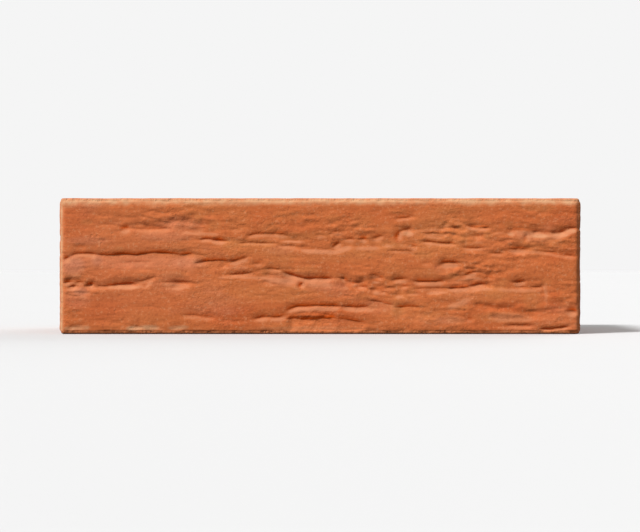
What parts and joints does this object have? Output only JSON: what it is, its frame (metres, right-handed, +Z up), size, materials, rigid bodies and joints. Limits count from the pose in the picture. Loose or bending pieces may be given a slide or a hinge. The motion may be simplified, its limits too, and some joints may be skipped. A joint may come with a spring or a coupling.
{
  "type": "clay brick",
  "caption": "Perforated facing brick of orange-red fired clay with a bark-textured face, laid in mortar as a unit of a wall.",
  "frame": {"origin": "centre of the lower bed face, the face the brick rests on", "axes": "+X along the brick's length, +Z up as laid from bed to bed, and the bark-textured stretcher face that shows in a wall looks along -Y"},
  "size_m": [0.25, 0.12, 0.065],
  "materials": {
    "fired_clay": "matte"
  },
  "bodies": {
    "root": {"brick": "fired_clay"}
  },
  "joints": []
}
